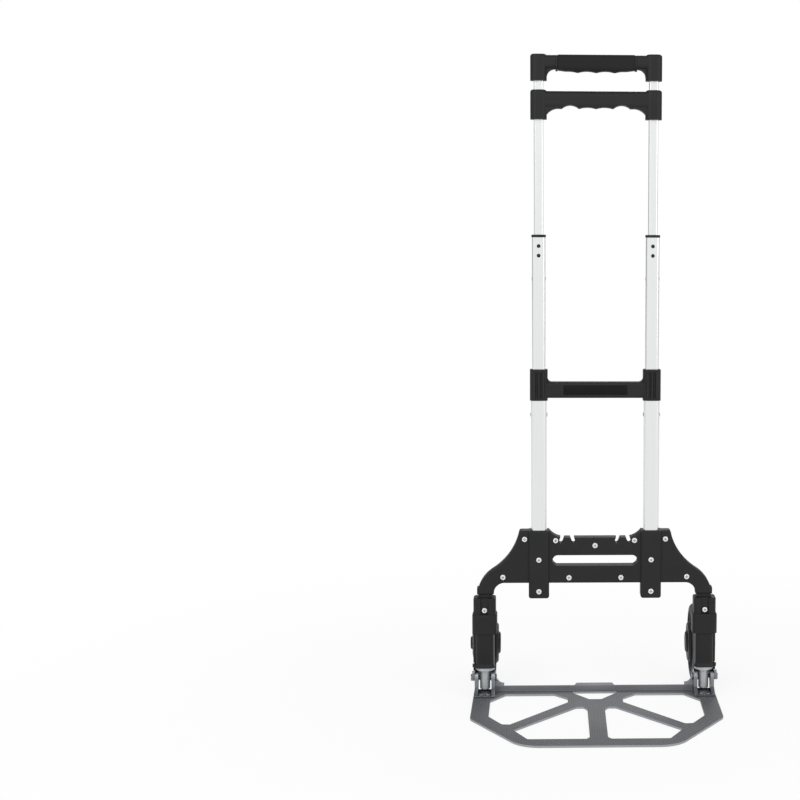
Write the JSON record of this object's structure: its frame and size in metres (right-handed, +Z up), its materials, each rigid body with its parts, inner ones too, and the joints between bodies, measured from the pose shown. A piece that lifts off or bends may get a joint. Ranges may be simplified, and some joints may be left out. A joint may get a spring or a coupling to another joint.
{
  "type": "folding hand truck",
  "caption": "Folding hand truck with a telescoping double-grip handle, a hinged toe plate with open windows and wheels that fold in with the plate.",
  "frame": {"origin": "on the floor, midway between the legs, straight below the toe plate hinge axis", "axes": "+Z up along the handle tubes, -Y to the front where the toe plate reaches, +X to the right seen from the front"},
  "size_m": [0.4114, 0.4165, 1.027],
  "materials": {
    "black_plastic": "fine moulded texture, satin",
    "soft_grip": "soft matt",
    "tube_aluminium": "satin anodised, drawn along the tube",
    "plate_aluminium": "cast and pressed, cross-hatched top",
    "zinc_steel": "zinc plated",
    "screw_steel": "zinc plated",
    "black_rivet": "black",
    "spring_steel": "plain",
    "tyre_rubber": "grey rubber"
  },
  "bodies": {
    "frame": {"left_lower_tube": "tube_aluminium", "right_lower_tube": "tube_aluminium", "crossbar": "black_plastic", "crossbar_screws": "screw_steel", "chassis_front_shell": "black_plastic", "chassis_rear_shell": "black_plastic", "chassis_screws": "screw_steel", "tube_screws": "screw_steel", "left_tube_end_cap": "black_plastic", "right_tube_end_cap": "black_plastic", "left_leg_post": "zinc_steel", "right_leg_post": "zinc_steel", "left_leg_socket": "black_plastic", "right_leg_socket": "black_plastic", "leg_screws": "screw_steel", "thrust_collars": "zinc_steel"},
    "toe": {"toe_plate": "plate_aluminium", "left_hinge_bracket": "zinc_steel", "right_hinge_bracket": "zinc_steel", "hinge_bracket_rivets": "zinc_steel", "left_hinge_pin": "zinc_steel", "right_hinge_pin": "zinc_steel"},
    "upper": {"left_upper_tube": "tube_aluminium", "right_upper_tube": "tube_aluminium", "left_upper_slide_plug": "black_plastic", "right_upper_slide_plug": "black_plastic", "left_upper_snap_spring": "spring_steel", "right_upper_snap_spring": "spring_steel", "top_grip": "black_plastic", "top_grip_sleeve": "soft_grip", "lower_grip": "black_plastic", "grip_screws": "screw_steel"},
    "left_wheel_arm": {"left_wheel_bracket": "black_plastic", "left_fold_spring": "spring_steel", "left_axle_bolt": "zinc_steel", "left_axle_nut": "zinc_steel"},
    "left_wheel": {"left_tyre": "tyre_rubber", "left_wheel_hub": "black_plastic", "left_hub_cap": "black_plastic", "left_wheel_bush": "black_plastic"},
    "left_middle": {"left_middle_tube": "tube_aluminium", "left_tube_collar": "black_plastic", "left_collar_rivets": "black_rivet", "left_middle_slide_plug": "black_plastic", "left_middle_snap_spring": "spring_steel"},
    "right_wheel_arm": {"right_wheel_bracket": "black_plastic", "right_fold_spring": "spring_steel", "right_axle_bolt": "zinc_steel", "right_axle_nut": "zinc_steel"},
    "right_wheel": {"right_tyre": "tyre_rubber", "right_wheel_hub": "black_plastic", "right_hub_cap": "black_plastic", "right_wheel_bush": "black_plastic"},
    "right_middle": {"right_middle_tube": "tube_aluminium", "right_tube_collar": "black_plastic", "right_collar_rivets": "black_rivet", "right_middle_slide_plug": "black_plastic", "right_middle_snap_spring": "spring_steel"}
  },
  "joints": [
    {"name": "toe_fold", "type": "hinge", "parent": "frame", "child": "toe", "pos_m": [0, 0, 0.0275], "axis": [-1, 0, 0], "range_deg": [0, 90]},
    {"name": "left_wheel_fold", "type": "hinge", "parent": "frame", "child": "left_wheel_arm", "pos_m": [-0.1785, 0, 0.075], "axis": [0, 0, -1], "range_deg": [0, 90]},
    {"name": "right_wheel_fold", "type": "hinge", "parent": "frame", "child": "right_wheel_arm", "pos_m": [0.1785, 0, 0.075], "axis": [0, 0, 1], "range_deg": [0, 90]},
    {"name": "left_wheel_spin", "type": "hinge", "parent": "left_wheel_arm", "child": "left_wheel", "pos_m": [-0.1785, 0.082, 0.0635], "axis": [1, 0, 0], "continuous": true},
    {"name": "right_wheel_spin", "type": "hinge", "parent": "right_wheel_arm", "child": "right_wheel", "pos_m": [0.1785, 0.082, 0.0635], "axis": [1, 0, 0], "continuous": true},
    {"name": "left_middle_slide", "type": "slide", "parent": "frame", "child": "left_middle", "axis": [0, 0, -1], "range_m": [0, 0.208], "deforming": ["left_middle_snap_spring"]},
    {"name": "right_middle_slide", "type": "slide", "parent": "frame", "child": "right_middle", "axis": [0, 0, -1], "range_m": [0, 0.208], "deforming": ["right_middle_snap_spring"]},
    {"name": "upper_slide", "type": "slide", "parent": "left_middle", "child": "upper", "axis": [0, 0, -1], "range_m": [0, 0.175], "deforming": ["left_upper_snap_spring", "right_upper_snap_spring"]}
  ],
  "couplings": [
    {"joint": "left_wheel_fold", "follows": "toe_fold", "ratio": 1},
    {"joint": "right_wheel_fold", "follows": "toe_fold", "ratio": 1},
    {"joint": "right_middle_slide", "follows": "left_middle_slide", "ratio": 1}
  ]
}
